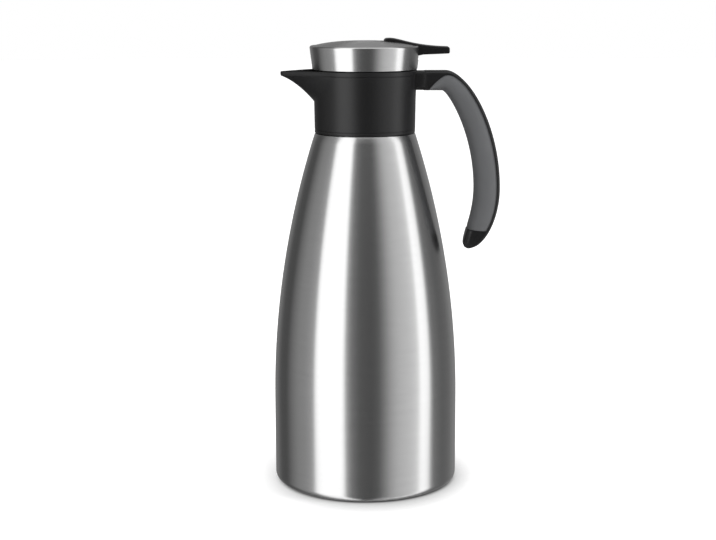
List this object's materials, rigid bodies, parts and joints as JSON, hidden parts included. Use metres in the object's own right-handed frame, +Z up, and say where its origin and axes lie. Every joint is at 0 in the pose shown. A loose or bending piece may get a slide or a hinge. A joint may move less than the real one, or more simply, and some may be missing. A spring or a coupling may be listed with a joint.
{
  "type": "vacuum jug",
  "caption": "Double-walled steel vacuum jug with a pouring spout, a hooked side handle and a screw-in stopper whose press lever opens a pouring valve.",
  "frame": {"origin": "on the body's axis, at the plane of the foot ring it stands on", "axes": "+Z up along the body's axis, -X towards the spout, +X towards the handle"},
  "size_m": [0.1533, 0.1248, 0.3026],
  "materials": {
    "brushed_steel": "fine brushing round the axis",
    "plain_steel": "satin",
    "black_plastic": "fine satin moulding",
    "black_lever": "satin moulding",
    "grey_plastic": "matt",
    "grey_grip": "soft matt",
    "silicone": "matt"
  },
  "bodies": {
    "jug": {"outer_shell": "brushed_steel", "shell_bottom": "plain_steel", "vacuum_seal": "grey_plastic", "base_cover": "black_plastic", "inner_vessel": "plain_steel", "getter": "plain_steel", "neck_gasket": "silicone", "collar": "black_plastic", "handle_core": "black_plastic", "soft_grip": "grey_grip", "handle_screw": "plain_steel"},
    "lid_ring": {"lid_seal": "silicone"},
    "lid": {"lid_cap": "brushed_steel", "lid_body": "black_plastic", "stopper_cup": "black_plastic", "stem_seal": "silicone", "lever_pin": "plain_steel", "valve_spring": "plain_steel"},
    "lever": {"lever": "black_lever"},
    "valve": {"valve_stem": "plain_steel", "valve_plug": "black_plastic", "valve_seal": "silicone", "stem_pin": "plain_steel"}
  },
  "joints": [
    {"name": "lid_lift", "type": "slide", "parent": "jug", "child": "lid_ring", "axis": [0, 0, 1], "range_m": [0, 0.07]},
    {"name": "lid_turn", "type": "hinge", "parent": "lid_ring", "child": "lid", "pos_m": [0, 0, 0.2819], "axis": [0, 0, 1], "range_deg": [0, 360]},
    {"name": "lever_press", "type": "hinge", "parent": "lid", "child": "lever", "pos_m": [0.024, 0, 0.29], "axis": [0, 1, 0], "range_deg": [0, 13.5], "stiffness_Nm_per_rad": 0.58, "springref_deg": -11.46},
    {"name": "valve_lift", "type": "slide", "parent": "lid", "child": "valve", "axis": [0, 0, 1], "range_m": [0, 0.0058], "deforming": ["valve_spring"]}
  ],
  "couplings": [
    {"joint": "valve_lift", "follows": "lever_press", "m_per_rad": 0.024}
  ]
}
